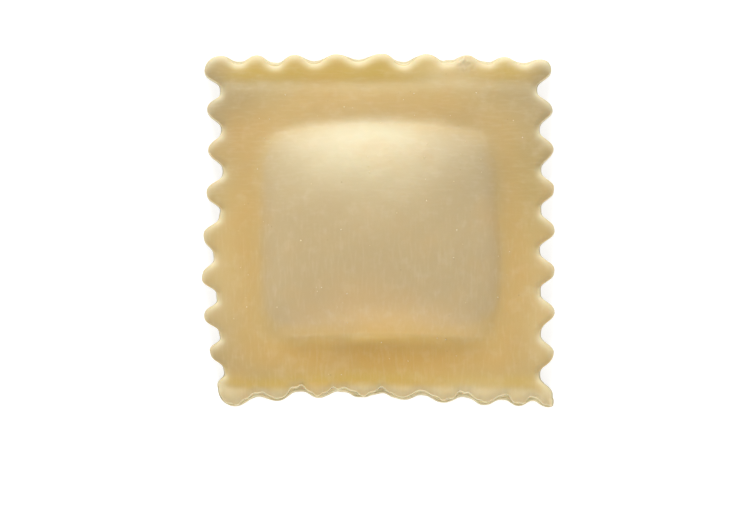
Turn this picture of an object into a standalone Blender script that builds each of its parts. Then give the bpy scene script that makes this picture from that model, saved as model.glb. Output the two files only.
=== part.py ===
"""A fresh square raviolo, lying flat with its filled side up.

Two sheets of egg dough are pressed together round a mound of filling and cut out with a fluted pastry
wheel. +Z is up, +X is right and +Y is the back. The origin is on the table, under the middle of the box.
"""

import math

import bmesh
import bpy
import numpy as np

MM = 0.001  # every dimension below is in millimetres

# The cut. The wheel leaves the same number of waves along each side.
FLUTES = 8
STEPS_PER_FLUTE = 6
STEPS_PER_HALF_CORNER = 2
STEPS_PER_SIDE = FLUTES * STEPS_PER_FLUTE + 2 * STEPS_PER_HALF_CORNER
CROWDING = 12             # the higher, the fewer waves an end squeezes short
FLUTE_REACH = 0.15        # share of the width over which the left and right waves die out

# The dough.
RIM_THICKNESS = 2.3
LOWER_SHEET_THICKNESS = 1.0
SEAM_GAP = 0.3

# The rounded corners. A tip juts out that far past the round.
CORNERS = {
    "front_left": {"centre": (-18.4, -20.2), "radius": 2.3, "tip": 0.0},
    "front_right": {"centre": (21.2, -21.3), "radius": 1.2, "tip": 0.45},
    "back_left": {"centre": (-20.3, 20.4), "radius": 2.15, "tip": 0.0},
    "back_right": {"centre": (20.6, 20.5), "radius": 1.6, "tip": 0.1},
}

# The sides, each from its left or front corner to its right or back one.
#   bow, skew      how far the side swells outwards at its middle, and one half more than the other
#   drift, twist   how far the waves have slipped along the side, in waves, in the same two ways
#   crowd          how far the waves run on, in waves, before the end squeezes the last one short
#   depth, flare   how deep the notches are at the underside, and how much deeper in the top face
#   lean           how much further in the top edge lies than the bottom edge
#   step           how far the upper sheet was cut short of the lower one
#   square         1 is a plain wave; the higher, the fuller the lobes and the flatter the notches
#   late           how much further along each notch lies than half way between two crests, in waves
#   uneven, seed   the share by which one notch may be deeper or shallower than the next, and which are
SIDES = {
    "front": {
        "corners": ("front_left", "front_right"), "outward": -90, "along": 0,
        "bow": -0.95, "skew": -0.4, "drift": 0.0, "twist": 0.0, "crowd": 0.55,
        "depth": 0.75, "flare": 0.3, "lean": 0.25, "step": 0.25, "square": 1.2, "late": 0.03,
        "uneven": 0.25, "seed": 21662,
    },
    "back": {
        "corners": ("back_left", "back_right"), "outward": 90, "along": 0,
        "bow": 0.5, "skew": -0.1, "drift": 0.0, "twist": -0.16, "crowd": 0.0,
        "depth": 0.72, "flare": 0.45, "lean": 0.15, "step": 0.0, "square": 1.3, "late": 0.02,
        "uneven": 0.30, "seed": 26728,
    },
    "left": {
        "corners": ("front_left", "back_left"), "outward": 180, "along": 90,
        "bow": 0.95, "skew": 0.75, "drift": -0.15, "twist": -0.10, "crowd": 0.0,
        "depth": 1.6, "flare": 0.1, "lean": 0.2, "step": 0.0, "square": 1.9, "late": 0.035,
        "uneven": 0.30, "seed": 16313,
    },
    "right": {
        "corners": ("front_right", "back_right"), "outward": 0, "along": 90,
        "bow": 0.35, "skew": 0.0, "drift": 0.07, "twist": 0.0, "crowd": 0.0,
        "depth": 1.72, "flare": 0.12, "lean": 0.2, "step": 0.0, "square": 1.4, "late": 0.04,
        "uneven": 0.12, "seed": 55619,
    },
}

# The creases that the press leaves along the front and the back, counted in rows of the grid from the
# edge. The border outside each crease curls up.
FRONT_CREASE_ROW = STEPS_PER_HALF_CORNER + 1
BACK_CREASE_ROW = STEPS_PER_SIDE - STEPS_PER_HALF_CORNER - 2
FRONT_CURL = math.radians(6)
BACK_CURL = math.radians(5)
CREASE_DEPTH = 0.2

# The pillow over the filling is a soft-sided mound with a broad crown on top. These are its foot, how high
# each of the two stands, how softly the mound's wall rises, and how far in from the foot the crown is level.
WALL_RISE = 2.7
CROWN_RISE = 2.4
PILLOW_FOOT = {
    "left": -14.8,
    "right": 14.9,
    "right_taper": 0.045,     # the right side leans in towards the back by this slope
    "front": -13.9,
    "back": 14.5,
    "back_arch": 0.0085,      # the back is an arch that falls off with the square of x
}
WALL_SOFTNESS = {"left": 1.6, "right": 1.5, "front": 1.8, "back": 2.2}
CROWN_REACH = {"left": 15.0, "right": 14.0, "front": 12.0, "back": 16.0}
CORNER_EASE = 2.0             # the larger, the rounder the mound's corners
FOOT_FILLET = 0.6

DOUGH_COLOUR = (0.74, 0.57, 0.29, 1.0)
DOUGH_ROUGHNESS = 0.6
SHARP_ANGLE = math.radians(35)


def direction(degrees):
    """Unit vector in the plane of the table."""
    angle = math.radians(degrees)
    return np.array([round(math.cos(angle), 12), round(math.sin(angle), 12)])


def two_waves(t, whole, halves):
    """A swelling along a side that is nothing at both ends."""
    return whole * np.sin(math.pi * t) + halves * np.sin(2 * math.pi * t)


def half_corner(name, outward, towards):
    """Half of a rounded corner, from its middle to where a side starts, and its outward directions."""
    corner = CORNERS[name]
    turn = np.linspace(math.pi / 4, 0, STEPS_PER_HALF_CORNER + 1)
    rays = np.outer(np.cos(turn), outward) - np.outer(np.sin(turn), towards)
    reach = corner["radius"] + corner["tip"] * turn / turn[0]
    return np.array(corner["centre"]) + rays * reach[:, None], rays


def side_lines(name):
    """One side's smooth line, its outward directions, and how deep in a notch each point is."""
    side = SIDES[name]
    outward = direction(side["outward"])
    along = direction(side["along"])
    start, end = side["corners"]
    first, first_rays = half_corner(start, outward, along)
    last, last_rays = half_corner(end, outward, -along)
    t = np.linspace(0, 1, FLUTES * STEPS_PER_FLUTE + 1)
    middle = np.outer(1 - t, first[-1]) + np.outer(t, last[-1])
    middle = middle + np.outer(two_waves(t, side["bow"], side["skew"]), outward)
    line = np.vstack([first[:-1], middle, last[-2::-1]])
    rays = np.vstack([first_rays[:-1], np.tile(outward, (len(t), 1)), last_rays[-2::-1]])

    phase = t * FLUTES - two_waves(t, side["drift"], side["twist"])
    phase = phase - side["crowd"] * t * (1 - t ** CROWDING)
    depths = 1 + side["uneven"] * np.random.default_rng(side["seed"]).uniform(-1, 1, FLUTES)
    wave = (1 - np.cos(2 * math.pi * (phase - side["late"]))) / 2
    notch = wave ** side["square"] / (wave ** side["square"] + (1 - wave) ** side["square"])
    notch = notch * depths[np.clip(np.floor(phase).astype(int), 0, FLUTES - 1)]
    corner = np.zeros(STEPS_PER_HALF_CORNER)
    return line, rays, np.concatenate([corner, notch, corner])


def along_side(name, key):
    """One of a side's measures along its length, which turns into the next side's measure at the corners."""
    own = SIDES[name][key]
    meets = [[side[key] for side in SIDES.values() if corner in side["corners"]]
             for corner in SIDES[name]["corners"]]
    first, last = [sum(measures) / len(measures) for measures in meets]
    place = np.linspace(0, 1, STEPS_PER_SIDE + 1)
    return np.interp(place, (0, 1 / FLUTES, 1 - 1 / FLUTES, 1), (first, own, own, last))


def shares(one, other):
    """How far along a pair of opposite sides each step lies, from 0 to 1."""
    steps = np.linalg.norm(np.diff(one, axis=0), axis=1) + np.linalg.norm(np.diff(other, axis=0), axis=1)
    return np.concatenate([[0], np.cumsum(steps)]) / steps.sum()


def fill(edges, weights):
    """A grid of points from its front, back, left and right edges and each edge's weight on the way in."""
    front, back, left, right = edges
    to_front, to_back, to_left, to_right = weights
    sides = (
        to_front[None, :, None] * front[:, None, :] + to_back[None, :, None] * back[:, None, :]
        + to_left[:, None, None] * left[None, :, :] + to_right[:, None, None] * right[None, :, :]
    )
    corners = (
        np.multiply.outer(np.outer(to_left, to_front), front[0])
        + np.multiply.outer(np.outer(to_right, to_front), front[-1])
        + np.multiply.outer(np.outer(to_left, to_back), back[0])
        + np.multiply.outer(np.outer(to_right, to_back), back[-1])
    )
    return sides - corners


def fading(share, reach):
    """A weight that falls from one at an edge to nothing at a share of the way in."""
    return np.clip(1 - share / reach, 0, 1)


def plan(level, upper):
    """The grid seen from above, at a share of the rim's thickness, for the upper sheet or the lower one."""
    lines = {}
    shifts = {}
    for name, side in SIDES.items():
        line, rays, notch = side_lines(name)
        inward = level * along_side(name, "lean") + (side["depth"] + side["flare"] * level) * notch
        if upper:
            inward = inward + along_side(name, "step")
        lines[name] = line
        shifts[name] = -rays * inward[:, None]
    across = shares(lines["front"], lines["back"])
    upward = shares(lines["left"], lines["right"])
    smooth = fill(lines.values(), (1 - upward, upward, 1 - across, across))
    waves = fill(shifts.values(), (
        fading(upward, upward[FRONT_CREASE_ROW]),
        fading(1 - upward, 1 - upward[BACK_CREASE_ROW]),
        fading(across, FLUTE_REACH),
        fading(1 - across, FLUTE_REACH),
    ))
    return smooth + waves


def curl(grid):
    """How high each point of the front and back borders is lifted."""
    ahead = grid[:, FRONT_CREASE_ROW, None, 1] - grid[:, :, 1]
    behind = grid[:, :, 1] - grid[:, BACK_CREASE_ROW, None, 1]
    return ahead.clip(0) * math.tan(FRONT_CURL) + behind.clip(0) * math.tan(BACK_CURL)


def pillow(x, y):
    """How high the dough over the filling stands above the rim."""
    foot = PILLOW_FOOT
    ways_in = {
        "left": x - foot["left"],
        "right": foot["right"] - foot["right_taper"] * y - x,
        "front": y - foot["front"],
        "back": foot["back"] - foot["back_arch"] * x * x - y,
    }
    nearness = {name: np.exp(-way_in / CORNER_EASE) for name, way_in in ways_in.items()}
    total = sum(nearness.values())
    softness = sum(near * WALL_SOFTNESS[name] for name, near in nearness.items()) / total
    eased = FOOT_FILLET * np.logaddexp(0, -CORNER_EASE * np.log(total) / FOOT_FILLET)
    wall = WALL_RISE * (1 - np.exp(-eased / softness))
    crown = CROWN_RISE
    for name, way_in in ways_in.items():
        crown = crown * (1 - np.clip(1 - way_in.clip(0) / CROWN_REACH[name], 0, None) ** 2)
    return wall + crown


def raised(level, upper):
    """The grid in three dimensions at a share of the rim's thickness."""
    grid = plan(level, upper)
    height = level * RIM_THICKNESS + curl(grid)
    return np.dstack([grid, height])


def crown():
    """The top face: the rim with its two creases, and the pillow."""
    top = raised(1, upper=True)
    top[:, :, 2] += pillow(top[:, :, 0], top[:, :, 1])
    top[1:-1, FRONT_CREASE_ROW, 2] -= CREASE_DEPTH
    top[1:-1, BACK_CREASE_ROW, 2] -= CREASE_DEPTH
    return top


def cell_faces(rows, first_vertex, upwards):
    """Four-sided faces of the grid's cells in the given rows."""
    faces = []
    stride = STEPS_PER_SIDE + 1
    for column in range(STEPS_PER_SIDE):
        for row in rows:
            corner = first_vertex + column * stride + row
            face = (corner, corner + stride, corner + stride + 1, corner + 1)
            faces.append(face if upwards else face[::-1])
    return faces


def flat_faces(first_vertex, upwards):
    """A face that lies flat between the creases, with the curled borders in cells at either end."""
    stride = STEPS_PER_SIDE + 1
    rows = list(range(FRONT_CREASE_ROW)) + list(range(BACK_CREASE_ROW, STEPS_PER_SIDE))
    faces = cell_faces(rows, first_vertex, upwards)
    between = range(FRONT_CREASE_ROW + 1, BACK_CREASE_ROW)
    loop = [column * stride + FRONT_CREASE_ROW for column in range(stride)]
    loop += [STEPS_PER_SIDE * stride + row for row in between]
    loop += [column * stride + BACK_CREASE_ROW for column in reversed(range(stride))]
    loop += [row for row in reversed(between)]
    face = tuple(first_vertex + vertex for vertex in loop)
    faces.append(face if upwards else face[::-1])
    return faces


def rim_loop():
    """The grid's outer vertices, anticlockwise from above."""
    stride = STEPS_PER_SIDE + 1
    loop = [column * stride for column in range(STEPS_PER_SIDE)]
    loop += [STEPS_PER_SIDE * stride + row for row in range(STEPS_PER_SIDE)]
    loop += [column * stride + STEPS_PER_SIDE for column in range(STEPS_PER_SIDE, 0, -1)]
    loop += list(range(STEPS_PER_SIDE, 0, -1))
    return loop


def sheet(name, underside, upper_face, full_top, material):
    """A closed sheet of dough between two grids."""
    points = np.concatenate([underside.reshape(-1, 3), upper_face.reshape(-1, 3)])
    above = (STEPS_PER_SIDE + 1) ** 2
    faces = flat_faces(0, upwards=False)
    if full_top:
        faces += cell_faces(range(STEPS_PER_SIDE), above, upwards=True)
    else:
        faces += flat_faces(above, upwards=True)
    loop = rim_loop()
    for here, there in zip(loop, loop[1:] + loop[:1]):
        faces.append((here, there, above + there, above + here))

    mesh = bpy.data.meshes.new(name)
    mesh.from_pydata((points * MM).tolist(), [], faces)
    shape = bmesh.new()
    shape.from_mesh(mesh)
    unused = [vertex for vertex in shape.verts if not vertex.link_faces]
    bmesh.ops.delete(shape, geom=unused, context="VERTS")
    shape.to_mesh(mesh)
    shape.free()
    mesh.shade_smooth()
    mesh.set_sharp_from_angle(angle=SHARP_ANGLE)
    mesh.materials.append(material)
    item = bpy.data.objects.new(name, mesh)
    bpy.context.scene.collection.objects.link(item)
    return item


def dough_material():
    """Raw egg dough, pale yellow and matt."""
    material = bpy.data.materials.new("egg_dough")
    material.use_nodes = True
    shader = material.node_tree.nodes["Principled BSDF"]
    shader.inputs["Base Color"].default_value = DOUGH_COLOUR
    shader.inputs["Roughness"].default_value = DOUGH_ROUGHNESS
    shader.inputs["Metallic"].default_value = 0.0
    return material


def main():
    for item in list(bpy.data.objects):
        bpy.data.objects.remove(item, do_unlink=True)
    dough = dough_material()
    seam_bottom = LOWER_SHEET_THICKNESS / RIM_THICKNESS
    seam_top = (LOWER_SHEET_THICKNESS + SEAM_GAP) / RIM_THICKNESS
    underside = raised(0, upper=False)
    corners = underside.reshape(-1, 3)
    middle = (corners.min(axis=0) + corners.max(axis=0)) / 2
    middle[2] = 0
    seam_low = raised(seam_bottom, upper=False)
    seam_high = raised(seam_top, upper=True)
    sheet("lower_sheet", underside - middle, seam_low - middle, full_top=False, material=dough)
    sheet("upper_sheet", seam_high - middle, crown() - middle, full_top=True, material=dough)


main()
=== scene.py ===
# %% [markdown]
# # A fresh square raviolo
#
# This is one piece of fresh stuffed pasta, lying on a pale table. Two sheets of egg dough are laid over
# each other with a mound of filling between them, pressed together round it, and cut out with a fluted
# pastry wheel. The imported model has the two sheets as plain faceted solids. Here each one is made again
# from the same sizes, with what the eye looks for: the soft round of the cut, the pressed creases, the
# drag of the rollers and a dusting of semolina.

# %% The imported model
import math

import bmesh
import bpy
import numpy as np
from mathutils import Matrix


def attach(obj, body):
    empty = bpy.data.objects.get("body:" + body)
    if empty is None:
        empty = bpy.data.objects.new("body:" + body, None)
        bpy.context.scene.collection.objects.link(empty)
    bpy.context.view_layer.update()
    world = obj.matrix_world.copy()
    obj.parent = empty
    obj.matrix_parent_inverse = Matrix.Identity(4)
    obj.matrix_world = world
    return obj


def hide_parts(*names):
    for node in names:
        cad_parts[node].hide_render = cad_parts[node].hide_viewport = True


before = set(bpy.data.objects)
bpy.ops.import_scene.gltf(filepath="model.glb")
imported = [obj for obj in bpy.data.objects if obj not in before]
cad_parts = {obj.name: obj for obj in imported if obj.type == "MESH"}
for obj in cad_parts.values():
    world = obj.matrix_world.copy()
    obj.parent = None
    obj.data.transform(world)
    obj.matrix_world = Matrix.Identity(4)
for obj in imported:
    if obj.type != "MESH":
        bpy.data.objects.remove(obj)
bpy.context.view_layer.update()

# %% [markdown]
# ## How finely the dough is drawn
#
# The whole upper face is one square grid of points that follows the cut edge, so that no cell is cut off
# at the rim. A sculpted or remeshed surface would do as well, but a grid keeps every point's place a plain
# formula. A finer grid could carry the roller marks too, but those are shallower than a hundredth of a
# millimetre, so they are left to the material. Cells of about 0.18 mm are enough for the flutes, the
# creases and the round of the edge.

# %% Units and fineness
MM = 0.001
FLUTES = 8
STEPS_PER_FLUTE = 30
STEPS_PER_HALF_CORNER = 8
STEPS_PER_SIDE = FLUTES * STEPS_PER_FLUTE + 2 * STEPS_PER_HALF_CORNER
STRIDE = STEPS_PER_SIDE + 1
print("grid of", STEPS_PER_SIDE, "by", STEPS_PER_SIDE, "cells")

# %% [markdown]
# ## The fluted cut
#
# A pastry wheel leaves the same wave again and again, but a hand steers it, so each side bows a little, its
# waves slip along it and no two notches are equally deep. In millimetres, degrees or shares of a wave, a
# side has these values:
#
# - `bow` and `skew` bend the side's middle line, as one arch and as two opposite ones
# - `drift`, `twist` and `crowd` slip the flutes unevenly along it, and `late` all of them alike
# - `depth` is the usual notch, and `uneven` the share by which notches differ
# - `square` above one flattens the bottoms of the notches
# - `lean` and `flare` slope the cut face inwards over the rim's thickness, everywhere and in the notches
# - `step` is how far the upper sheet ends inside the lower one
#
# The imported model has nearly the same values. Its lobes are a little sharper, because they have few facets.

# %% The cut
RIM_THICKNESS = 2.3
CORNERS = {
    "front_left": {"centre": (-18.4, -20.2), "radius": 2.3, "tip": 0.0},
    "front_right": {"centre": (21.2, -21.3), "radius": 1.2, "tip": 0.45},
    "back_left": {"centre": (-20.3, 20.4), "radius": 2.15, "tip": 0.0},
    "back_right": {"centre": (20.6, 20.5), "radius": 1.6, "tip": 0.1},
}
SIDES = {
    "front": {
        "corners": ("front_left", "front_right"), "outward": -90, "along": 0,
        "bow": -0.95, "skew": -0.4, "drift": 0.0, "twist": 0.0, "crowd": 0.55,
        "depth": 0.75, "flare": 0.3, "lean": 0.25, "step": 0.3, "square": 1.2, "late": 0.03,
        "uneven": 0.25, "seed": 21662,
    },
    "back": {
        "corners": ("back_left", "back_right"), "outward": 90, "along": 0,
        "bow": 0.5, "skew": -0.1, "drift": 0.0, "twist": -0.16, "crowd": 0.0,
        "depth": 0.72, "flare": 0.45, "lean": 0.15, "step": 0.0, "square": 1.3, "late": 0.02,
        "uneven": 0.30, "seed": 26728,
    },
    "left": {
        "corners": ("front_left", "back_left"), "outward": 180, "along": 90,
        "bow": 0.95, "skew": 0.75, "drift": -0.15, "twist": -0.10, "crowd": 0.0,
        "depth": 1.6, "flare": 0.1, "lean": 0.2, "step": 0.0, "square": 1.9, "late": 0.035,
        "uneven": 0.30, "seed": 16313,
    },
    "right": {
        "corners": ("front_right", "back_right"), "outward": 0, "along": 90,
        "bow": 0.35, "skew": 0.0, "drift": 0.07, "twist": 0.0, "crowd": 0.0,
        "depth": 1.72, "flare": 0.12, "lean": 0.2, "step": 0.0, "square": 1.4, "late": 0.04,
        "uneven": 0.12, "seed": 55619,
    },
}
print("notches about", [side["depth"] for side in SIDES.values()], "mm deep")

# %% [markdown]
# ## One side of the cut
#
# Each side is a line of points from the middle of one corner to the middle of the next: half a round
# corner, eight flutes, half a round corner. It could be a curve object with a wave modifier, but a line of
# points keeps the notches countable, so that the sheet above and the sheet below get the same ones. A side
# is three things: the line itself, the ray that points out of the dough at each point, and how much of a
# notch there is, from zero on a lobe to about one.

# %% Side lines
CROWDING = 12
ROUND_LOBES = 1.1


def direction(degrees):
    """A unit vector in the plan."""
    angle = math.radians(degrees)
    return np.array([round(math.cos(angle), 12), round(math.sin(angle), 12)])


def bends(t, arch, opposite_arches):
    """A bend along a side that is zero at both ends."""
    return arch * np.sin(math.pi * t) + opposite_arches * np.sin(2 * math.pi * t)


def half_corner(name, outward, towards):
    """Points and rays round a corner, from its middle to where the side begins."""
    corner = CORNERS[name]
    turn = np.linspace(math.pi / 4, 0, STEPS_PER_HALF_CORNER + 1)
    rays = np.outer(np.cos(turn), outward) - np.outer(np.sin(turn), towards)
    reach = corner["radius"] + corner["tip"] * turn / turn[0]
    return np.array(corner["centre"]) + rays * reach[:, None], rays


def notches(side, t):
    """How much of a notch there is along a side's flutes."""
    phase = t * FLUTES - bends(t, side["drift"], side["twist"])
    phase = phase - side["crowd"] * t * (1 - t ** CROWDING)
    wave = (1 - np.cos(2 * math.pi * (phase - side["late"]))) / 2
    deep = wave ** ROUND_LOBES
    shallow = (2 * (1 - wave)) ** side["square"] / 2 ** ROUND_LOBES
    unevenness = np.random.default_rng(side["seed"]).uniform(-1, 1, FLUTES)
    depths = 1 + side["uneven"] * unevenness
    flute = np.clip(np.floor(phase).astype(int), 0, FLUTES - 1)
    return deep / (deep + shallow) * depths[flute]


def side_lines(name):
    """A side's points without its flutes, its outward rays, and its notches."""
    side = SIDES[name]
    outward = direction(side["outward"])
    along = direction(side["along"])
    start, end = side["corners"]
    first, first_rays = half_corner(start, outward, along)
    last, last_rays = half_corner(end, outward, -along)
    t = np.linspace(0, 1, FLUTES * STEPS_PER_FLUTE + 1)
    straight = np.outer(1 - t, first[-1]) + np.outer(t, last[-1])
    bowed = straight + np.outer(bends(t, side["bow"], side["skew"]), outward)
    line = np.vstack([first[:-1], bowed, last[-2::-1]])
    rays = np.vstack([first_rays[:-1], np.tile(outward, (len(t), 1)), last_rays[-2::-1]])
    no_notch = np.zeros(STEPS_PER_HALF_CORNER)
    return line, rays, np.concatenate([no_notch, notches(side, t), no_notch])


print("deepest notch", round(max(side_lines("right")[2]) * SIDES["right"]["depth"], 2), "mm")

# %% [markdown]
# ## An unsteady hand
#
# Soft dough gives way under the wheel, so the cut also trembles by a few hundredths of a millimetre, and
# the upper sheet's cut strays from the lower one's. Both could be noise on the finished mesh, but added to
# the side's own line they stay sharp at the edge and smooth inside. Where two sides meet, their measures
# have to agree, so each one turns into its neighbour's over the last flute.

# %% Tremble and blending
CUT_WOBBLE = 0.035
WOBBLE_TURNS = (10, 30)
WOBBLE_WAVES = 8
RAGGEDNESS = 0.16
RAGGED_TURNS = (9, 34)
RAGGED_WAVES = 10
PLACE = np.linspace(0, 1, STRIDE)


def trembling(seed, turns, count):
    """A sum of waves along a side, each with its own number of turns."""
    random = np.random.default_rng(seed)
    waves = random.uniform(*turns, count)
    return sum(np.sin(2 * math.pi * (wave * PLACE + random.uniform())) for wave in waves)


def wobble(name):
    """How far the wheel strayed from its wave, zero at the corners."""
    waves = trembling(SIDES[name]["seed"], WOBBLE_TURNS, WOBBLE_WAVES)
    return CUT_WOBBLE / 2 * waves * np.sin(math.pi * PLACE)


def ragged(name):
    """What the step between the two sheets is multiplied by."""
    return 1 + RAGGEDNESS * trembling(SIDES[name]["seed"] + 1, RAGGED_TURNS, RAGGED_WAVES)


def along_side(name, key):
    """One of a side's measures along its length, which turns into the next side's at the corners."""
    own = SIDES[name][key]
    meets = [[side[key] for side in SIDES.values() if corner in side["corners"]]
             for corner in SIDES[name]["corners"]]
    first, last = [sum(measures) / len(measures) for measures in meets]
    return np.interp(PLACE, (0, 1 / FLUTES, 1 - 1 / FLUTES, 1), (first, own, own, last))


print("the cut trembles by up to", round(np.abs(wobble("left")).max(), 3), "mm")

# %% [markdown]
# ## The grid between four sides
#
# The grid is a Coons patch: every point is a blend of the four sides, less what the corners count twice.
# The flutes would otherwise run right through the square, so they are blended in apart, and die out at
# the front and back creases or a short way in from the left and right. The tight corners would shear the
# cells behind them as well. That is why a side's line is first let go slack, like a string that is held at
# its two ends, and the grid changes over from the real line to the slack one a little way in.

# %% Grid
FLUTE_REACH = 0.15
SLACK_STEPS = 2000
SLACK_FROM = 0.03
SLACK_TO = 0.09
FRONT_CREASE_ROW = STEPS_PER_HALF_CORNER + STEPS_PER_FLUTE // 6
BACK_CREASE_ROW = STEPS_PER_SIDE - STEPS_PER_HALF_CORNER - STEPS_PER_FLUTE // 3


def slackened(line):
    """The line after its points have moved towards their neighbours many times."""
    line = line.copy()
    for _ in range(SLACK_STEPS):
        line[1:-1] += (line[:-2] + line[2:] - 2 * line[1:-1]) / 4
    return line


SLACK = {name: slackened(side_lines(name)[0]) for name in SIDES}


def shares(one, other):
    """How far along two opposite sides each point lies, from zero to one."""
    steps = np.linalg.norm(np.diff(one, axis=0), axis=1) + np.linalg.norm(np.diff(other, axis=0), axis=1)
    return np.concatenate([[0], np.cumsum(steps)]) / steps.sum()


def inwards(line, slack, share):
    """A side's line repeated over the grid, going slack with the share of the way in."""
    t = np.clip((share - SLACK_FROM) / (SLACK_TO - SLACK_FROM), 0, 1)
    eased = t * t * (3 - 2 * t)
    return line[:, None, :] + eased[None, :, None] * (slack - line)[:, None, :]


def fill(edges, weights):
    """Blends four sides into a grid. The first two run across it, the last two up it."""
    front, back, left, right = edges
    to_front, to_back, to_left, to_right = weights
    sides = (
        to_front[None, :, None] * front + to_back[None, :, None] * back
        + to_left[:, None, None] * left.swapaxes(0, 1) + to_right[:, None, None] * right.swapaxes(0, 1)
    )
    corners = sum(
        np.multiply.outer(np.outer(to_side, to_end), line[end, 0])
        for to_end, line in ((to_front, front), (to_back, back))
        for to_side, end in ((to_left, 0), (to_right, -1))
    )
    return sides - corners


def fading(share, reach):
    """One at the side, zero from a share of the way in."""
    return np.clip(1 - share / reach, 0, 1)


def plan(level, upper, inset=0.0):
    """The grid seen from above at a share of the rim's thickness, and its edge drawn in by an inset."""
    lines = {}
    shifts = {}
    for name, side in SIDES.items():
        line, rays, notch = side_lines(name)
        inward = level * along_side(name, "lean") + (side["depth"] + side["flare"] * level) * notch
        inward = inward + inset + wobble(name)
        if upper:
            inward = inward + along_side(name, "step") * ragged(name)
        lines[name] = line
        shifts[name] = (-rays * inward[:, None])[:, None, :]
    across = shares(lines["front"], lines["back"])
    upward = shares(lines["left"], lines["right"])
    ways_in = {"front": upward, "back": 1 - upward, "left": across, "right": 1 - across}
    calm = fill([inwards(lines[name], SLACK[name], way_in) for name, way_in in ways_in.items()],
                (1 - upward, upward, 1 - across, across))
    waves = fill(shifts.values(), (
        fading(upward, upward[FRONT_CREASE_ROW]),
        fading(1 - upward, 1 - upward[BACK_CREASE_ROW]),
        fading(across, FLUTE_REACH),
        fading(1 - across, FLUTE_REACH),
    ))
    return calm + waves - middle


# The footprint comes first, to find its middle, on which all the rest is centred
middle = np.zeros(2)
footprint = plan(0, upper=False).reshape(-1, 2)
middle = (footprint.min(axis=0) + footprint.max(axis=0)) / 2
FLAT = plan(1, upper=True)
print("footprint", (footprint.max(axis=0) - footprint.min(axis=0)).round(2), "mm")

# %% [markdown]
# ## The pressed creases and the curled borders
#
# A bar presses the sheets together along the front and the back, and leaves a shallow crease. Outside it
# the dough has curled up by a few degrees as it dried. A crease could be sculpted or beveled in; here it
# is a soft trough in the height. The front one follows a row of the grid, and so the bend of the front
# edge. The back one is straighter, with one small bow.

# %% Creases
BORDER_CURL = math.radians(5)
CURL_EASE = 0.35
CREASES = {
    "front": {"depth": 0.16, "inside": 1.0, "outside": 0.8},
    "back": {"depth": 0.11, "inside": 0.9, "outside": 0.9},
}
BACK_BAR = {"level": 18.85, "bow": 0.5, "bow_at": 10.1, "bow_reach": 5.0}


def bump_of(values, centre, width):
    """A soft hill that is one at its centre."""
    return np.exp(-((values - centre) / width) ** 2)


def beyond(name, x, y):
    """How far a point lies outside a crease."""
    if name == "back":
        return y - BACK_BAR["level"] - BACK_BAR["bow"] * bump_of(x, BACK_BAR["bow_at"], BACK_BAR["bow_reach"])
    line = FLAT[:, FRONT_CREASE_ROW]
    return np.interp(x, line[:, 0], line[:, 1]) - y


def curl(x, y):
    """How far the borders have lifted off the table."""
    reach = sum(np.logaddexp(0, beyond(name, x, y) / CURL_EASE - 1) for name in CREASES)
    return reach * CURL_EASE * math.tan(BORDER_CURL)


def crease_dip(name, x, y):
    """The trough that the bar left, with its own width on either side."""
    crease = CREASES[name]
    out = beyond(name, x, y)
    width = np.where(out > 0, crease["outside"], crease["inside"])
    return crease["depth"] * bump_of(out, 0, width)


print("front crease at y", FLAT[STEPS_PER_SIDE // 2, FRONT_CREASE_ROW, 1].round(2), "mm")

# %% [markdown]
# ## The pillow over the filling
#
# The filling is a soft square mound. The dough climbs off the rim as a steep wall and then goes over into
# a low crown, so the height is made of those two. The wall rises with the distance in from the pillow's
# foot. That distance is a soft minimum of the distances to four lines, which rounds the corners by itself.
# Two of the lines are shallow arches, and the filling has pushed the right one out in a bulge. The crown
# is highest in the middle and falls most gently towards the back. A cloth simulation over a lump would
# give a like shape, but it couldn't be steered to a measured height.

# %% Pillow
WALL_RISE = 2.7
CROWN_RISE = 2.4
PILLOW_FOOT = {
    "left": -15.2, "right": 14.85, "bulge": 0.8, "bulge_at": -4.3, "bulge_reach": 7.0,
    "front": -13.0, "front_arch": 0.0038, "back": 13.78, "back_arch": 0.0068,
}
WALL_SOFTNESS = {"left": 1.9, "right": 1.6, "front": 2.2, "back": 2.2}
CROWN_REACH = {"left": 15.0, "right": 14.0, "front": 12.0, "back": 16.0}
CORNER_EASE = 1.7
FOOT_FILLET = 0.5


def ways_in(x, y):
    """How far inside each of the four lines of the pillow's foot a point lies."""
    foot = PILLOW_FOOT
    x = x + middle[0]
    y = y + middle[1]
    bulge = foot["bulge"] * bump_of(y, foot["bulge_at"], foot["bulge_reach"])
    return {
        "left": x - foot["left"],
        "right": foot["right"] + bulge - x,
        "front": y - foot["front"] + foot["front_arch"] * x * x,
        "back": foot["back"] - foot["back_arch"] * x * x - y,
    }


def way_in_and_softness(x, y):
    """How far in from the pillow's foot a point lies, with rounded corners, and how softly it rises."""
    nearness = {name: np.exp(-way_in / CORNER_EASE) for name, way_in in ways_in(x, y).items()}
    total = sum(nearness.values())
    softness = sum(near * WALL_SOFTNESS[name] for name, near in nearness.items()) / total
    return -CORNER_EASE * np.log(total), softness


def pillow(x, y):
    """How much higher than the rim the dough lies over the filling."""
    way_in, softness = way_in_and_softness(x, y)
    eased = FOOT_FILLET * np.logaddexp(0, way_in / FOOT_FILLET)
    wall = WALL_RISE * (1 - np.exp(-eased / softness))
    crown = CROWN_RISE
    for name, way_in in ways_in(x, y).items():
        crown = crown * (1 - np.clip(1 - way_in.clip(0) / CROWN_REACH[name], 0, None) ** 2)
    return wall + crown


print("pillow", round(float(pillow(np.zeros(1), np.zeros(1))[0]), 2), "mm over the rim")

# %% [markdown]
# ## Unevenness, and a torn spot
#
# Rolled dough is never quite flat. A noise texture could displace the mesh, but a sum of waves in random
# directions does the same in plain numbers, and each one keeps to the size it is given. At one place on
# the back edge the dough stuck and tore a little, so it is rougher there.

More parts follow.
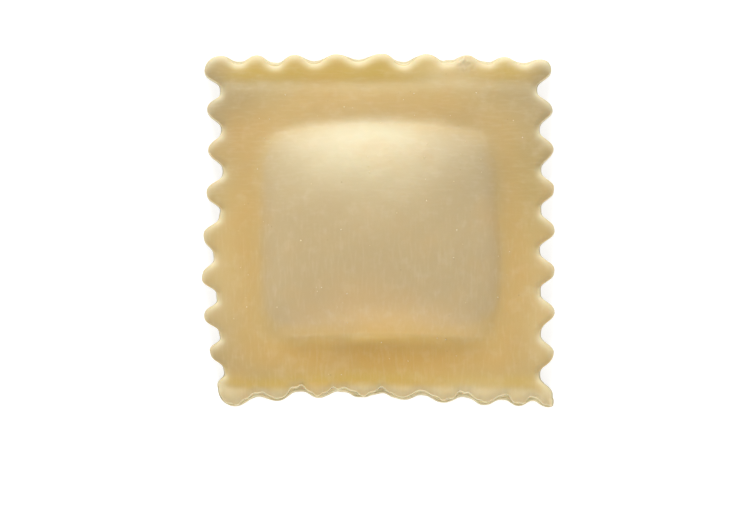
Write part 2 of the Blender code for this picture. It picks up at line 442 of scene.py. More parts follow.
# %% Ripples and the upper surface
RIPPLE_WAVES = 24
RIPPLE_SPREAD = (0.7, 1.6)
UNEVEN = [
    {"size": 9.0, "depth": 0.045, "seed": 11},
    {"size": 3.2, "depth": 0.014, "seed": 12},
    {"size": 1.1, "depth": 0.004, "seed": 13},
]
TORN_PATCH = (11.1, 21.3, 1.1, 1.1)
TORN = {"size": 0.8, "depth": 0.07, "seed": 14}


def ripples(x, y, layer):
    """Smooth random unevenness with bumps of a layer's size and about its depth."""
    random = np.random.default_rng(layer["seed"])
    total = np.zeros_like(x)
    for _ in range(RIPPLE_WAVES):
        angle = random.uniform(0, math.pi)
        wavelength = layer["size"] * random.uniform(*RIPPLE_SPREAD)
        phase = random.uniform(0, 2 * math.pi)
        way = x * math.cos(angle) + y * math.sin(angle)
        total = total + np.cos(2 * math.pi * way / wavelength + phase)
    return total * math.sqrt(2 / RIPPLE_WAVES) * layer["depth"]


def patch_of(x, y, at_x, at_y, reach_x, reach_y):
    """A soft oval patch that is one in its middle."""
    return bump_of(x, at_x, reach_x) * bump_of(y, at_y, reach_y)


def upper_surface(x, y):
    """Height of the upper face, in millimetres."""
    height = RIM_THICKNESS + curl(x, y) + pillow(x, y)
    height = height - crease_dip("front", x, y) - crease_dip("back", x, y)
    height = height + sum(ripples(x, y, layer) for layer in UNEVEN)
    return height + patch_of(x, y, *TORN_PATCH) * ripples(x, y, TORN)


heights = upper_surface(FLAT[:, :, 0], FLAT[:, :, 1])
print("upper face from", heights.min().round(2), "to", heights.max().round(2), "mm")

# %% [markdown]
# ## The rounded edge
#
# The wheel squeezes the dough as it cuts, so the upper face slopes down over the last millimetre. A bevel
# would round the corner only where the cut is smooth. Here the height falls with the distance to the cut
# instead. The distance is again a soft minimum, over all points of the cut, so it has no ridge where two
# flutes are equally near. The same sum tells which way the nearest cut faces, which the finish needs.

# %% The way to the edge
EDGE_DROP = 0.32
DROP_WIDTH = 0.8
DROP_POWER = 2.2
EDGE_EASE = 0.22
SMALLEST_AWAY = 0.01
DISTANCE_BATCH = 64


def loop_round(first_row, last_row):
    """The grid points once round a block of rows."""
    loop = [column * STRIDE + first_row for column in range(STEPS_PER_SIDE)]
    loop += [STEPS_PER_SIDE * STRIDE + row for row in range(first_row, last_row)]
    loop += [column * STRIDE + last_row for column in range(STEPS_PER_SIDE, 0, -1)]
    loop += list(range(last_row, first_row, -1))
    return np.array(loop)


LOOP = loop_round(0, STEPS_PER_SIDE)
TOP_EDGE = FLAT.reshape(-1, 2)[LOOP]
EDGE_SPACING = np.linalg.norm(np.diff(TOP_EDGE, axis=0), axis=1).mean()


def way_to_edge(x, y):
    """How far each point lies from the cut, looking from above, and how much the cut there faces back."""
    flat_x = x.ravel()[:, None]
    flat_y = y.ravel()[:, None]
    total = np.zeros(len(flat_x))
    ahead = np.zeros(len(flat_x))
    for start in range(0, len(TOP_EDGE), DISTANCE_BATCH):
        batch = TOP_EDGE[start:start + DISTANCE_BATCH]
        back = batch[None, :, 1] - flat_y
        away = np.hypot(flat_x - batch[None, :, 0], back)
        nearness = np.exp(-away / EDGE_EASE)
        total += nearness.sum(axis=1)
        ahead += (nearness * back / (away + SMALLEST_AWAY)).sum(axis=1)
    distance = EDGE_EASE * np.log(2 * EDGE_EASE / EDGE_SPACING / total)
    return distance.clip(0).reshape(x.shape), (ahead / total).reshape(x.shape)


def edge_drop(grid):
    """How far the upper face sinks towards the cut."""
    inside = way_to_edge(grid[:, :, 0], grid[:, :, 1])[0].clip(0, DROP_WIDTH)
    return EDGE_DROP * (1 - inside / DROP_WIDTH) ** DROP_POWER


print("cut", round(EDGE_SPACING * len(LOOP), 1), "mm long, a point every", round(EDGE_SPACING, 2), "mm")

# %% [markdown]
# ## A sheet as a mesh
#
# A sheet is closed: an upper grid, a lower grid and the cut face between their edges. The cut face is a
# stack of loops. The top and the bottom loops are drawn in along a quarter circle, which rounds the cut
# finely. Faces that lie on the table or on the other sheet stay flat between the creases, so the middle of
# them is one large face, and only the curled borders need cells.

# %% Faces and profile
EDGE_ROUND = 0.22
ROUND_STEPS = 5
WALL_STEPS = 6


def cell_faces(rows, first_vertex, upwards):
    """Four-sided faces for some rows of a grid whose points start at a vertex."""
    corner = (first_vertex + np.arange(STEPS_PER_SIDE)[:, None] * STRIDE + np.array(rows)[None, :]).ravel()
    faces = np.stack([corner, corner + STRIDE, corner + STRIDE + 1, corner + 1], axis=1)
    return (faces if upwards else faces[:, ::-1]).tolist()


def flat_faces(first_vertex, upwards):
    """Cells for the two borders, and one face for all that lies between the creases."""
    rows = list(range(FRONT_CREASE_ROW)) + list(range(BACK_CREASE_ROW, STEPS_PER_SIDE))
    faces = cell_faces(rows, first_vertex, upwards)
    face = (first_vertex + loop_round(FRONT_CREASE_ROW, BACK_CREASE_ROW)).tolist()
    faces.append(face if upwards else face[::-1])
    return faces


def wall_profile(thickness):
    """Rows of the cut face from below: share of the sheet's thickness, and inset in millimetres."""
    turn = np.linspace(0, math.pi / 2, ROUND_STEPS + 1)
    round_share = EDGE_ROUND / thickness
    low = [((1 - math.cos(a)) * round_share, (1 - math.sin(a)) * EDGE_ROUND) for a in turn]
    high = [(1 - share, inset) for share, inset in reversed(low)]
    wall = [(share, 0.0) for share in np.linspace(round_share, 1 - round_share, WALL_STEPS + 1)[1:-1]]
    return low[1:] + wall + high[:-1]


print("each sheet's cut face has", len(wall_profile(RIM_THICKNESS / 2)) + 1, "rows of faces")

# %% [markdown]
# ## Building a sheet
#
# The points go in as whole arrays, which is far quicker than adding vertices one by one. Faces carry one of
# two materials: 0 for the rolled skin and 1 for the fresh cut. The top round of the upper sheet still has
# the rolled skin, because the wheel only presses it down. Points that no face uses are deleted at the end.

# %% Sheet builder
ROLLED_SKIN = 0
FRESH_CUT = 1


def placed(name, data):
    """A new object in the scene."""
    thing = bpy.data.objects.new(name, data)
    bpy.context.scene.collection.objects.link(thing)
    return thing


def sheet(name, low_level, high_level, low_height, high_height, upper):
    """A closed sheet of dough. The heights are functions of x and y."""
    low_grid = plan(low_level, upper, EDGE_ROUND)
    high_grid = plan(high_level, upper, EDGE_ROUND)
    low_z = low_height(low_grid[:, :, 0], low_grid[:, :, 1])
    high_z = high_height(high_grid[:, :, 0], high_grid[:, :, 1])
    if upper:
        high_z = high_z - edge_drop(high_grid)
    low_edge_z = low_z.ravel()[LOOP]
    high_edge_z = high_z.ravel()[LOOP]
    parts = [np.dstack([low_grid, low_z]).reshape(-1, 3), np.dstack([high_grid, high_z]).reshape(-1, 3)]
    for share, inset in wall_profile((high_level - low_level) * RIM_THICKNESS):
        level = low_level + share * (high_level - low_level)
        ring = plan(level, upper, inset).reshape(-1, 2)[LOOP]
        parts.append(np.column_stack([ring, low_edge_z + share * (high_edge_z - low_edge_z)]))

    above = len(parts[0])
    rings = [2 * above + index * len(LOOP) + np.arange(len(LOOP)) for index in range(len(parts) - 2)]
    rows = [LOOP, *rings, above + LOOP]
    faces = flat_faces(0, upwards=False)
    if upper:
        faces += cell_faces(range(STEPS_PER_SIDE), above, upwards=True)
    else:
        faces += flat_faces(above, upwards=True)
    first_cut = len(faces)
    for low_row, high_row in zip(rows, rows[1:]):
        faces += np.stack([low_row, np.roll(low_row, -1), np.roll(high_row, -1), high_row], axis=1).tolist()

    mesh = bpy.data.meshes.new(name)
    mesh.from_pydata((np.concatenate(parts) * MM).tolist(), [], faces)
    finish = np.full(len(faces), ROLLED_SKIN, dtype=np.int32)
    finish[first_cut:] = FRESH_CUT
    if upper:
        finish[-ROUND_STEPS * len(LOOP):] = ROLLED_SKIN
    mesh.polygons.foreach_set("material_index", finish)
    shape = bmesh.new()
    shape.from_mesh(mesh)
    unused = [vertex for vertex in shape.verts if not vertex.link_faces]
    bmesh.ops.delete(shape, geom=unused, context="VERTS")
    shape.to_mesh(mesh)
    shape.free()
    mesh.shade_smooth()
    print(name, "has", sum(len(face) - 2 for face in faces), "triangles")
    return placed(name, mesh)


print("finishes", ROLLED_SKIN, "and", FRESH_CUT)

# %% [markdown]
# ## The two sheets
#
# The sheets meet at about mid height, in a seam that shows along the cut as a fine line, because both
# edges are rounded. Where they are pressed together there is no gap worth drawing. Each piece rides on
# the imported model's one body and stands for the plain solid of the same sheet.

# %% Sheets
SEAM = 0.47
SEAM_GAP = 0.02


def seam_below(x, y):
    return SEAM * RIM_THICKNESS + curl(x, y)


def seam_above(x, y):
    return seam_below(x, y) + SEAM_GAP


lower = sheet("lower_dough_sheet", 0.0, SEAM, curl, seam_below, upper=False)
upper = sheet("upper_dough_sheet", SEAM, 1.0, seam_above, upper_surface, upper=True)
for piece, node, slot in ((lower, "lower_sheet", "lower_dough"), (upper, "upper_sheet", "upper_dough")):
    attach(piece, "root")
    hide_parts(node)
    print(piece.name, "stands for", node)

# %% [markdown]
# ## Grains of semolina
#
# The work surface was dusted with semolina, so that the sheets don't stick, and some of it stays on the
# dough. A grain is a splinter of hard wheat, 0.1 to 0.2 mm across. A particle system would scatter them,
# but its instances aren't part of any mesh. So grains this big are made one by one in a single mesh, each
# a small uneven ball pressed nearly half into the dough, and the finer dust is left to the material.

# %% Semolina grains
GRAINS = 70
GRAIN_SIZE = (0.08, 0.19)
GRAIN_SUNK = 0.45
GRAIN_FIELD = 18.5
GRAIN_STRETCH = (0.7, 1.3)
GRAIN_ROUGHNESS = 0.12
GRAIN_SEED = 7


def add_grain(shape, random):
    """One ball with a crumpled surface, let into the dough at a random place."""
    x, y = random.uniform(-GRAIN_FIELD, GRAIN_FIELD, 2)
    size = random.uniform(*GRAIN_SIZE)
    ball = bmesh.ops.create_icosphere(shape, subdivisions=2, radius=size / 2)
    stretch = random.uniform(*GRAIN_STRETCH, 3)
    z = upper_surface(np.array([x]), np.array([y]))[0] + size * (0.5 - GRAIN_SUNK)
    for vertex in ball["verts"]:
        rough = 1 + random.uniform(-GRAIN_ROUGHNESS, GRAIN_ROUGHNESS)
        vertex.co = [(place + offset * share * rough) * MM
                     for place, offset, share in zip((x, y, z), vertex.co, stretch)]


def semolina_grains():
    random = np.random.default_rng(GRAIN_SEED)
    shape = bmesh.new()
    for _ in range(GRAINS):
        add_grain(shape, random)
    mesh = bpy.data.meshes.new("semolina_grains")
    shape.to_mesh(mesh)
    shape.free()
    mesh.shade_smooth()
    return placed("semolina_grains", mesh)


grains = semolina_grains()
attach(grains, "root")
print(GRAINS, "grains in", len(grains.data.polygons), "triangles")

# %% [markdown]
# ## Where the dough differs
#
# Over the filling the dough is paler, because the filling shines through. The thin cut edge and the front
# border have dried paler, and the corners have dried and gone greyer. Shade is painted into the colour too:
# in the fold at the pillow's foot, in the creases, on the strip behind the back crease, on the right of the
# pillow and on cut edges that face the front. So is light: a highlight on the pillow's far shoulder, along
# the back crease and on edges that face back, and a lighter tone on the pillow's front slope, right under it,
# behind the pillow and on the curled front border. A material can't know those places, so each is stored on
# the mesh as numbers from zero to one: soft oval patches, and bands and soft steps that follow the pillow's
# foot, the creases or the cut. Vertex colours could be painted instead, but these follow the shape when a
# size is changed.

# %% Zones
# Patches: centre x and y, reach along x and y
PATCHES = {
    "shoulder": (1.0, -11.4, 9.0, 2.6),  # painted light on the pillow's front slope, yellower
    # painted highlight on the pillow's far shoulder, in a pale floury tone, and along its ridge
    "floury": (-2.0, 10.6, 10.5, 5.6),
    "flour_ridge": (-1.5, 12.7, 6.0, 1.6),
    "shade_side": (0.0, -16.6, 14.0, 3.0),  # painted shade on the rim in front of the pillow
    # painted shade on the pillow's right flank, greyer
    "greyed": (12.0, 8.5, 5.5, 7.5),
    "scuffed": (9.5, 21.6, 4.0, 0.9),
    # painted shade on the rim right of the pillow
    "dried_side": (17.8, 7.0, 4.0, 6.0),
    "pale_left": (-19.6, -6.5, 2.6, 7.0),
    "pale_right": (20.8, -11.0, 2.2, 6.0),
    "thin_rim": (-1.0, 16.6, 10.0, 2.2),  # painted light on the rim behind the pillow
    "egg_streak": (-2.5, -8.2, 5.0, 2.8),
    "yolky_border": (-8.0, -20.2, 3.5, 1.2),
    "floury_border": (12.0, -20.2, 5.0, 1.3),
    "dried_corner": (-17.0, 12.5, 3.5, 4.0),
    "pale_fold": (9.0, 20.5, 4.5, 1.8),
    "torn": TORN_PATCH,
}
# Bands: middle, counted inwards from the pillow's foot or outwards from a crease, and width
# painted shade in the fold at the pillow's foot
FOLD_SHADE = (-1.8, 2.0)
# painted light that lifts the shadow right under the pillow's front
PAINTED_LIGHT_BAND = (-0.7, 0.8)
# painted shade along the front crease
FRONT_CREASE_SHADE = (-0.3, 1.0)
# painted highlight along the back crease
CREASE_HIGHLIGHT = (-0.5, 0.8)
# Soft steps: where they are half way up, and width
OVER_FILLING = (0.25, 0.25)
FRONT_SLOPE = (11.0, 0.6)
PAINTED_LIGHT_FRONT = (12.5, 0.5)
BORDER = (0.45, 0.17)
STRIP_BEGINS = (0.3, 0.3)
STRIP_ENDS = (-19.4, 0.7)
BACK_RIM = (18.0, 1.0)
BACK_HALF = (0.0, 4.0)
FRONT_LEFT = (25.0, 3.0)
BEHIND_CREASE = (0.0, 0.3)
TURNED_DOUGH = (2.0, 2.0)
# Edges: strength where the cut faces sideways, and what is added where it faces back
# The pale edge is dried dough with painted light added where it faces back, the other is painted shade on
# edges that face the front
PALE_AND_LIT_EDGE = (0.4, 1.1)
SHADED_EDGE = (0.3, -0.6)
DRY_EDGE_WIDTH = 0.35
LIT_AND_SHADED_EDGE_WIDTH = 0.4
# a wider band of painted light along the back rim
BACK_RIM_SHARE = 0.9
# The pale front border, dried and partly painted light, starts further in towards the right, and again at its
# left end
BORDER_SLANT = 0.03
SLANT_FROM = -9.0
LEFT_END = -12.0
LEFT_END_BEND = 0.9 / 8 ** 2
FRONT_SHADE_SHARE = 0.8
PAINTED_LIGHT_REACH = 9.5
CORNER_FROM = 19.0
CORNER_TO = 27.0
ALL_CORNERS = 0.3
BACK_CORNERS = 0.7
FRONT_LEFT_CORNER = 0.5
LESS_ON_BACK_STRIP = 0.3


def rising(values, start, width):
    """A soft step from zero to one."""
    return 1 / (1 + np.exp(-(values - start) / width))


def edge_zones(x, y):
    """The thin dry edge, pale, with painted light added where it faces back, and painted shade on the edge
    that faces the front.
    """
    near_edge, faces_back = way_to_edge(x, y)
    dry = np.exp(-near_edge / DRY_EDGE_WIDTH)
    lit_and_shaded_edge = np.exp(-near_edge / LIT_AND_SHADED_EDGE_WIDTH)
    at_back = rising(y, *BACK_RIM)
    rim = dry * (1 - at_back) + BACK_RIM_SHARE * lit_and_shaded_edge * at_back
    return {
        "edge": rim * (PALE_AND_LIT_EDGE[0] + PALE_AND_LIT_EDGE[1] * faces_back).clip(0, 1),
        "edge_below": lit_and_shaded_edge * (SHADED_EDGE[0] + SHADED_EDGE[1] * faces_back).clip(0, 1),
    }


def crease_zones(x, y):
    """The front border, dried pale and partly painted light, painted shade in the creases and on the strip
    behind the back one, and a painted highlight along the back crease.
    """
    further_in = BORDER_SLANT * x.clip(SLANT_FROM, None) + LEFT_END_BEND * (LEFT_END - x).clip(0) ** 2
    front = beyond("front", x, y) + further_in
    back = beyond("back", x, y)
    on_strip = rising(back, *STRIP_BEGINS) * rising(-np.abs(x), *STRIP_ENDS)
    return {
        "border": rising(front, *BORDER),
        "pressed": on_strip + FRONT_SHADE_SHARE * bump_of(front, *FRONT_CREASE_SHADE),
        "crease_line": bump_of(back, *CREASE_HIGHLIGHT),
    }


def pillow_zones(x, y):
    """What lies over the filling, painted shade in the fold round it, and painted light on a strip right
    under the front slope.
    """
    inside = way_in_and_softness(x, y)[0]
    return {
        "over_filling": rising(inside - rising(-y, *FRONT_SLOPE), *OVER_FILLING),
        "fold": bump_of(inside, *FOLD_SHADE),
        "lee": bump_of(inside, *PAINTED_LIGHT_BAND) * rising(-y, *PAINTED_LIGHT_FRONT) * bump_of(x, 0, PAINTED_LIGHT_REACH),
    }


def corner_zone(x, y):
    """The corners dried first, and the back ones and the front left one most."""
    corners = np.clip((np.hypot(x, y) - CORNER_FROM) / (CORNER_TO - CORNER_FROM), 0, 1)
    dryness = ALL_CORNERS + BACK_CORNERS * rising(y, *BACK_HALF)
    dryness = dryness + FRONT_LEFT_CORNER * rising(-x - y, *FRONT_LEFT)
    return corners * dryness * (1 - LESS_ON_BACK_STRIP * rising(beyond("back", x, y), *BEHIND_CREASE))


def zones(x, y):
    """Every zone's strength at each point."""
    return {
        **{name: patch_of(x, y, *patch) for name, patch in PATCHES.items()},
        **edge_zones(x, y),
        **crease_zones(x, y),
        **pillow_zones(x, y),
        "dry_corners": corner_zone(x, y),
        "rolled_across": rising(y, *TURNED_DOUGH),
    }


def store_zones(piece):
    flat = np.empty(len(piece.data.vertices) * 3)
    piece.data.vertices.foreach_get("co", flat)
    x, y = flat.reshape(-1, 3).T[:2] / MM
    for name, values in zones(x, y).items():
        attribute = piece.data.attributes.new(name, "FLOAT", "POINT")
        attribute.data.foreach_set("value", values.clip(0, 1).astype(np.float32))


for piece in (lower, upper):
    store_zones(piece)
    print(len(piece.data.attributes), "attributes on", piece.name)

# %% [markdown]
# ## Colours and nodes
#
# Colours are written as they look on a screen and turned into light by one function. Another adds a node,
# sets it and links it, and the rest are what every material here is made of. A socket is given by its
# name, or by its number where two share a name, as on a Mix node: `_0` is how much, `_6` and `_7` are the
# two colours, and the mixed colour comes out at 2. Patterns are sized in millimetres, so `spacing` turns a
# size into how often it repeats in a metre.

# %% Colour and node helpers
SMOOTH = {"clamp": True, "interpolation_type": "SMOOTHSTEP"}
COLOURS = {"data_type": "RGBA"}


def linear(code):
    """A hex colour as opaque light."""
    channels = [int(code[place:place + 2], 16) / 255 for place in (1, 3, 5)]
    light = [c / 12.92 if c <= 0.04045 else ((c + 0.055) / 1.055) ** 2.4 for c in channels]
    return (*light, 1)


def spacing(size, drawn_out=(1, 1, 1)):
    """The scale of a pattern with marks of a size in millimetres, drawn out along each axis."""
    return tuple(1 / (size * MM * share) for share in drawn_out)


def add(tree, kind, settings=None, **sockets):
    """Adds a node, or takes one that is there. A socket gets a value, or a pair of a node and its output."""
    node = tree.nodes.new(kind) if isinstance(kind, str) else kind
    for name, value in (settings or {}).items():
        setattr(node, name, value)
    for name, value in sockets.items():
        socket = node.inputs[int(name[1:])] if name[0] == "_" else node.inputs[name.replace("_", " ")]
        if isinstance(value, tuple) and isinstance(value[0], bpy.types.Node):
            tree.links.new(value[0].outputs[value[1]], socket)
        else:
            socket.default_value = value
    return node


def ramp(tree, value, start, end, low=0.0, high=1.0):
    """Goes softly from low to high while a value goes from start to end."""
    limits = {"From_Min": start, "From_Max": end, "To_Min": low, "To_Max": high}
    return add(tree, "ShaderNodeMapRange", SMOOTH, Value=value, **limits), 0


def product(tree, one, other):
    return add(tree, "ShaderNodeMath", {"operation": "MULTIPLY"}, _0=one, _1=other), 0


def noise(tree, place, size, drawn_out=(1, 1, 1), detail=2.0, roughness=0.5):
    """Noise with marks of a size in millimetres, drawn out along each axis."""
    spread = add(tree, "ShaderNodeMapping", Vector=place, Scale=spacing(size, drawn_out))
    looks = {"Scale": 1.0, "Detail": detail, "Roughness": roughness}
    return add(tree, "ShaderNodeTexNoise", Vector=(spread, 0), **looks), 0


def covered(tree, colour, share, tone):
    """A colour with a share of a tone over it."""
    return add(tree, "ShaderNodeMix", COLOURS, _0=share, _6=colour, _7=linear(tone)), 2


def laid_over(tree, colour, tone, pattern, low, high, most):
    """A tone over a colour, from none where a pattern is low to the most where it is high."""
    return covered(tree, colour, ramp(tree, pattern, low, high, 0.0, most), tone)


def new_material(name):
    """A material, its nodes, its shader, and the object's own coordinates."""
    material = bpy.data.materials.new(name)
    material.use_nodes = True
    tree = material.node_tree
    return material, tree, tree.nodes["Principled BSDF"], (add(tree, "ShaderNodeTexCoord"), "Object")


print("a 1 mm pattern repeats", spacing(1.0)[0], "times in a metre")

# %% [markdown]
# ## What egg dough does with light
#
# Fresh egg dough is wheat flour and egg, rolled between steel rollers. It is a translucent solid: light
# goes in, spreads by up to a millimetre and comes out warmer, which softens small shadows and makes thin
# edges glow. Its skin is satin, neither wet nor chalky, so highlights are broad. Starch and egg both bend
# light about as glass does, so the IOR is 1.5. A rough coat stands for the thin skin of dried egg.

# %% Light in dough
DOUGH_LIGHT = {
    "IOR": 1.5,
    "Coat_Weight": 0.5,
    "Coat_Roughness": 0.65,
    "Subsurface_Weight": 0.25,
    "Subsurface_Radius": (1.0, 0.55, 0.25),
    "Subsurface_Scale": 1.0 * MM,
}
print("light spreads", DOUGH_LIGHT["Subsurface_Scale"] / MM, "mm in the dough")

# %% [markdown]
# ## Rolled egg dough: its tones
#
# Over the rim's colour goes one layer for each zone, in the order of the list: its colour, and how much of
# it at most. The egg yolk gives a warm straw yellow, which turns buff where the dough is dry. Painted shade
# turns it a deeper gold in some zones and greyer in others, and painted light and highlights make it paler.
# On top of that lie soft patches some 7 mm wide, a little warmer and a little cooler, because egg and flour
# are never mixed quite evenly.

# %% Tones
RIM_TONE = "#C4A86A"
ZONE_TONES = [
    ("dry_corners", "#A8946A", 0.9),
    # painted shade on the rim right of the pillow
    ("dried_side", "#A08A48", 0.45),
    ("dried_corner", "#A88444", 0.4),
    ("pale_left", "#E0C488", 0.3),
    ("pale_right", "#E0C488", 0.35),
    # painted light on the rim behind the pillow
    ("thin_rim", "#E6B65E", 0.3),
    ("over_filling", "#BDA678", 1.0),
    # painted light on the pillow's front slope
    ("shoulder", "#DEB466", 0.6),
    ("egg_streak", "#D4AB68", 0.35),
    # painted highlight on the pillow's far shoulder
    ("floury", "#E2D7AF", 0.7),
    ("flour_ridge", "#DEE4CC", 0.3),
    # painted shade in the fold at the pillow's foot
    ("fold", "#C9A35C", 0.5),
    # painted light right under the pillow's front
    ("lee", "#F3D078", 0.7),
    # painted shade in front of the pillow
    ("shade_side", "#C8941F", 0.5),
    # painted shade on the pillow's right flank
    ("greyed", "#AF9E78", 0.4),
    ("scuffed", "#AF9E78", 0.6),
    # painted shade on the back strip and in the front crease
    ("pressed", "#CAA844", 0.75),
    # dried front border, with painted light where it curls up
    ("border", "#D0BC8C", 0.9),
    ("yolky_border", "#C9A048", 0.35),
    ("floury_border", "#DCCB9E", 0.35),
    ("pale_fold", "#E0CC9C", 0.55),
    # painted highlight along the back crease
    ("crease_line", "#DCCB9E", 0.2),
    # painted shade on edges that face the front
    ("edge_below", "#AC9A6C", 0.5),
    # dried pale edge, with painted light where it faces back
    ("edge", "#EFE7C2", 0.9),
    ("torn", "#C9C0A0", 0.6),
]
TONE_PATCH = 7.0
# A tone, the noise at which it begins and is full, and how much of it at most
MIXING_TONES = [("#CFA45C", 0.5, 0.75, 0.20), ("#BBA375", 0.48, 0.25, 0.22)]


def zone_tones(tree):
    colour = linear(RIM_TONE)
    for zone, tone, most in ZONE_TONES:
        where = add(tree, "ShaderNodeAttribute", {"attribute_name": zone})
        colour = covered(tree, colour, product(tree, (where, "Fac"), most), tone)
    return colour


def mixing_patches(tree, place, colour):
    patches = noise(tree, place, TONE_PATCH, roughness=0.55)
    for tone, low, high, most in MIXING_TONES:
        colour = laid_over(tree, colour, tone, patches, low, high, most)
    return colour


print(len(ZONE_TONES), "zones and", len(MIXING_TONES), "mixing tones")

# %% [markdown]
# ## Rolled egg dough: rollers and flour
#
# Polished rollers drag the dough and leave fine parallel lines, with flour caught in them. The lines are
# long noise, drawn out 5 or 6 times. They run across the back of this sheet and along its front, because
# it was folded and turned between two passes. Real ones are about 0.1 mm apart, and here they are 0.35 mm,
# as coarse as they need to be to show. Flour dust lies over them in clouds of 1.6 mm. Both are a pale
# wheat colour and very faint.

# %% Roller marks and flour
FLOUR_TONE = "#EDE3C6"
DRAG_WIDTH = 0.35
DRAG_LENGTHS = ((1, 6, 3), (5, 1, 3))
DUST_CLOUD = 1.6
# The noise at which the flour begins and is full, and how much of it at most
MARK_FLOUR = (0.45, 0.8, 0.08)
CLOUD_FLOUR = (0.5, 0.75, 0.08)


def roller_marks(tree, place):
    """Fine lines along one way at the back of the sheet and along the other at its front."""
    along, across = [noise(tree, place, DRAG_WIDTH, drawn_out) for drawn_out in DRAG_LENGTHS]
    turned = add(tree, "ShaderNodeAttribute", {"attribute_name": "rolled_across"})
    return add(tree, "ShaderNodeMix", {"data_type": "FLOAT"}, _0=(turned, "Fac"), _2=along, _3=across), 0


def flour_dust(tree, place, colour, marks):
    colour = laid_over(tree, colour, FLOUR_TONE, marks, *MARK_FLOUR)
    clouds = noise(tree, place, DUST_CLOUD, detail=3.0)
    return laid_over(tree, colour, FLOUR_TONE, clouds, *CLOUD_FLOUR)


print("roller marks", DRAG_WIDTH, "mm wide, dust clouds", DUST_CLOUD, "mm")

# %% [markdown]
# ## Rolled egg dough: specks
#
# Bran that got past the sieve shows as tiny brown specks. A Voronoi texture gives one point for each cell,
# and the distance to it makes a dot. Each cell's random colour decides whether its speck shows, so that
# they are scattered and of unequal strength.

# %% Bran specks
BRAN_TONE = "#8C6A38"
SPECK_SPACING = 1.5
SPECK_RADIUS = 0.13
SPECK_CORE = 0.4
SPECK_STRENGTH = 0.35
SPECKS_SHOW = (0.55, 0.95)


def bran_specks(tree, place, colour):
    scale = spacing(SPECK_SPACING)[0]
    cells = add(tree, "ShaderNodeTexVoronoi", {"feature": "F1"}, Vector=place, Scale=scale, Randomness=1.0)
    size = SPECK_RADIUS / SPECK_SPACING
    dot = ramp(tree, (cells, "Distance"), size, SPECK_CORE * size)
    chance = add(tree, "ShaderNodeSeparateColor", _0=(cells, "Color"))
    shows = ramp(tree, (chance, 0), *SPECKS_SHOW, 0.0, SPECK_STRENGTH)
    return covered(tree, colour, product(tree, dot, shows), BRAN_TONE)


print("specks", 2 * SPECK_RADIUS, "mm across, at most one every", SPECK_SPACING, "mm")

# %% [markdown]
# ## Rolled egg dough: its skin
#
# The skin has a fine grain of about 0.6 mm, from starch that swelled unevenly, and the roller marks lie in
# it. Both are a few thousandths of a millimetre deep, which is right for bump. The same grain makes the
# roughness wander from satin to matt, so that the highlight on the pillow breaks up softly.

# %% Rolled egg dough
SKIN_GRAIN = 0.6
RELIEF = 0.008
MARK_RELIEF = 0.8
NOISE_RANGE = (0.3, 0.7)
SATIN = (0.55, 0.68)


def rolled_egg_dough():
    material, tree, shader, place = new_material("rolled_egg_dough")
    marks = roller_marks(tree, place)
    colour = mixing_patches(tree, place, zone_tones(tree))
    colour = flour_dust(tree, place, colour, marks)
    colour = bran_specks(tree, place, colour)
    grain = noise(tree, place, SKIN_GRAIN, detail=3.0)
    relief = add(tree, "ShaderNodeMath", {"operation": "MULTIPLY_ADD"}, _0=marks, _1=MARK_RELIEF, _2=grain)
    bump = add(tree, "ShaderNodeBump", Strength=1.0, Distance=RELIEF * MM, Height=(relief, 0))
    satin = ramp(tree, grain, *NOISE_RANGE, *SATIN)
    add(tree, shader, Base_Color=colour, Roughness=satin, Normal=(bump, 0), **DOUGH_LIGHT)
    return material


rolled = rolled_egg_dough()
print(rolled.name, "has", len(rolled.node_tree.nodes), "nodes")

# %% [markdown]
# ## Cut egg dough
#
# The wheel leaves a fresh face, paler than the skin and a little rougher. Dough that was folded and rolled
# several times is layered, and the layers show on the cut as fine level bands, here noise drawn out 6 times
# along both level axes. Near the table the face is darker, which is painted shade.

# %% Cut egg dough
CUT_TONE = "#D3C599"
LAYER_TONE = "#B3A478"
# painted shade on the cut face near the table
LOW_SHADE_TONE = "#A09165"
LAYER_HEIGHT = 0.35
LAYERS_DRAWN_OUT = (6, 6, 1)
LAYERS_SHOW = (0.35, 0.65, 1.0)
LAYER_RELIEF = 0.016
LOW_SHADE_FROM = 0.75
LOW_SHADE_TO = 0.1
LOW_SHADE_SHARE = 0.7
TORN_SKIN = (0.55, 0.75)


def cut_egg_dough():
    material, tree, shader, place = new_material("cut_egg_dough")
    layers = noise(tree, place, LAYER_HEIGHT, LAYERS_DRAWN_OUT, detail=3.0, roughness=0.6)
    colour = laid_over(tree, linear(CUT_TONE), LAYER_TONE, layers, *LAYERS_SHOW)
    height = add(tree, "ShaderNodeSeparateXYZ", _0=place)
    colour = laid_over(tree, colour, LOW_SHADE_TONE, (height, 2), LOW_SHADE_FROM * MM, LOW_SHADE_TO * MM, LOW_SHADE_SHARE)
    bump = add(tree, "ShaderNodeBump", Strength=1.0, Distance=LAYER_RELIEF * MM, Height=layers)
    torn_skin = ramp(tree, layers, *NOISE_RANGE, *TORN_SKIN)
    add(tree, shader, Base_Color=colour, Roughness=torn_skin, Normal=(bump, 0), **DOUGH_LIGHT)
    return material


cut = cut_egg_dough()
for piece in (lower, upper):
    piece.data.materials.append(rolled)
    piece.data.materials.append(cut)
print(cut.name, "on faces with material", FRESH_CUT)

# %% [markdown]
# ## Durum semolina
#
# Semolina is coarsely milled durum wheat: glassy splinters, pale cream with a yellow heart. They are dry,
# so they look matt, and each takes its own place in a small pattern, so that some are paler.

# %% Durum semolina
SEMOLINA_HEART = "#D9C48C"
GRAIN_TONE_SIZE = 0.15
HEARTS_SHOW = (0.35, 0.65, 1.0)


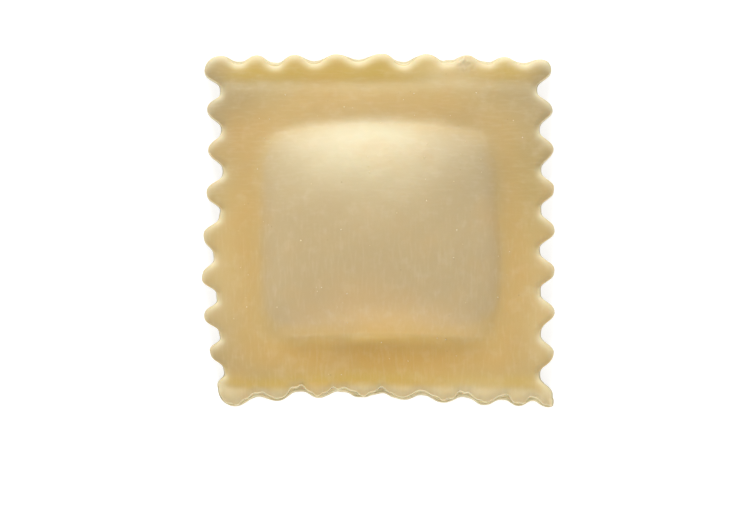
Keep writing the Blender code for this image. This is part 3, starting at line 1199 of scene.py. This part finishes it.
def durum_semolina():
    material, tree, shader, place = new_material("durum_semolina")
    tone = noise(tree, place, GRAIN_TONE_SIZE, roughness=0.55)
    colour = laid_over(tree, linear(FLOUR_TONE), SEMOLINA_HEART, tone, *HEARTS_SHOW)
    add(tree, shader, Base_Color=colour, Roughness=0.7, IOR=1.5)
    return material


grains.data.materials.append(durum_semolina())
print("grains are", grains.data.materials[0].name)

# %% [markdown]
# ## The table
#
# A sheet of white card, far larger than the food, so that nothing but pale floor shows behind it. It
# glows a little, as card does on a light table, which keeps it white right up to the dough and still lets
# a soft shadow lie under the edge.

# %% Table
TABLE_HALF = 1.5
CARD_REFLECTS = 0.42
CARD_GLOWS = 0.75
table_mesh = bpy.data.meshes.new("table_top")
table_corners = [(x * TABLE_HALF, y * TABLE_HALF, 0) for x, y in ((-1, -1), (1, -1), (1, 1), (-1, 1))]
table_mesh.from_pydata(table_corners, [], [(0, 1, 2, 3)])
table = placed("table_top", table_mesh)
card, card_tree, card_shader, _ = new_material("white_card")
add(card_tree, card_shader, Base_Color=(CARD_REFLECTS, CARD_REFLECTS, CARD_REFLECTS, 1), Roughness=0.9,
    Emission_Color=(1, 1, 1, 1), Emission_Strength=CARD_GLOWS)
table_mesh.materials.append(card)
print("table", 2 * TABLE_HALF, "m wide")

# %% [markdown]
# ## The lights
#
# A window-like softbox stands low behind the food. It draws the bright band on the pillow's far shoulder
# and leaves the near side in a soft shade, which is what shows the relief. Three large weak boxes act as
# white boards that throw some of that light back from the front and the sides, and the room adds a little
# from everywhere. Each box's power follows from how bright its face is, so a box can be made larger
# without growing dimmer.

# %% Lights
def softbox(name, azimuth, elevation, distance, width, height, radiance):
    """A soft rectangular light that looks at the middle of the food."""
    light = bpy.data.lights.new(name, "AREA")
    light.shape = "RECTANGLE"
    light.size = width
    light.size_y = height
    light.energy = radiance * math.pi * width * height
    box = placed(name, light)
    around = math.radians(azimuth)
    up = math.radians(elevation)
    flat = distance * math.cos(up)
    box.location = (flat * math.cos(around), flat * math.sin(around), distance * math.sin(up))
    box.rotation_euler = (math.pi / 2 - up, 0, around + math.pi / 2)
    print(name, round(light.energy, 2), "W")


ROOM_LIGHT = 0.33
softbox("window_light", azimuth=96.5, elevation=29, distance=0.7, width=0.32, height=0.22, radiance=20.0)
for name, azimuth, radiance in (("front_board", -90, 4.2), ("left_board", 178, 1.2), ("right_board", 2, 1.2)):
    softbox(name, azimuth, elevation=25, distance=0.8, width=0.8, height=0.4, radiance=radiance)
room = bpy.data.worlds.new("room")
bpy.context.scene.world = room
room.use_nodes = True
add(room.node_tree, room.node_tree.nodes["Background"], Color=(1, 1, 1, 1), Strength=ROOM_LIGHT)
bpy.context.scene.view_settings.view_transform = "Standard"

# %% [markdown]
# ## The camera
#
# It looks straight down with a long lens, so the square stays square and all four fluted edges show. Its
# height follows from how wide a field it takes in at the level of the rim.

# %% Camera
LENS = 100
SENSOR = 36
FIELD_WIDTH = 95.7
OVER = (-0.42, -3.12)
camera_data = bpy.data.cameras.new("camera")
camera_data.lens = LENS
camera_data.sensor_width = SENSOR
camera = placed("camera", camera_data)
camera.location = (OVER[0] * MM, OVER[1] * MM, (RIM_THICKNESS + FIELD_WIDTH * LENS / SENSOR) * MM)
bpy.context.scene.camera = camera
print("camera", round(camera.location.z, 3), "m above the table")
